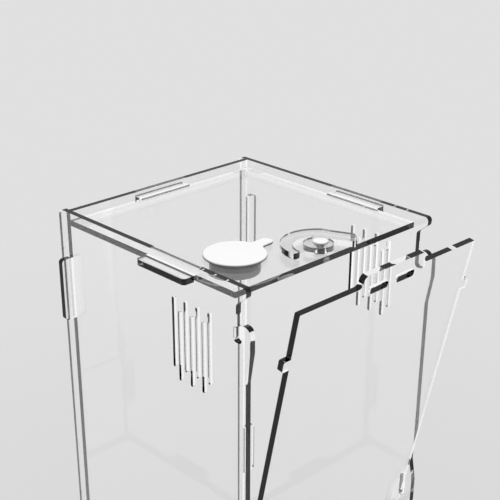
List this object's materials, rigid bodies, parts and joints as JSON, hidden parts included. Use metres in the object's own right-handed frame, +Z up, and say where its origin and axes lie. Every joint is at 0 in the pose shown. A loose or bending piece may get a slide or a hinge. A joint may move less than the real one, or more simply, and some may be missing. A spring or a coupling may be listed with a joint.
{
  "type": "acrylic terrarium",
  "caption": "Tall clear terrarium of tabbed flat panels, with air slits, a lift-out tilting front door, a turning claw latch and a round feeding plug in its top.",
  "frame": {"origin": "centre of the overall footprint, on the table the terrarium stands on, with the door leaning out as in the picture", "axes": "+X to the right as seen from the front, +Y from the door to the back panel, +Z up"},
  "size_m": [0.23, 0.2732, 0.4046],
  "materials": {
    "clear_acrylic": "clear, polished faces, dark cut edges",
    "white_plastic": "smooth, slightly glossy"
  },
  "bodies": {
    "enclosure": {"left_panel": "clear_acrylic", "right_panel": "clear_acrylic", "back_panel": "clear_acrylic", "top_panel": "clear_acrylic", "floor_panel": "clear_acrylic", "lower_front_panel": "clear_acrylic", "latch_screw": "white_plastic"},
    "door": {"door": "clear_acrylic"},
    "latch": {"latch_lever": "clear_acrylic"},
    "plug": {"feeding_plug": "white_plastic"}
  },
  "joints": [
    {"name": "door_tilt", "type": "hinge", "parent": "enclosure", "child": "door", "pos_m": [0, -0.07939, 0.13], "axis": [1, 0, 0], "range_deg": [-7, 103.7]},
    {"name": "latch_swing", "type": "hinge", "parent": "enclosure", "child": "latch", "pos_m": [0.001, -0.06039, 0.3928], "axis": [0, 0, 1], "range_deg": [0, 100]},
    {"name": "plug_lift", "type": "slide", "parent": "enclosure", "child": "plug", "axis": [0, 0, 1], "range_m": [0, 0.03]}
  ]
}
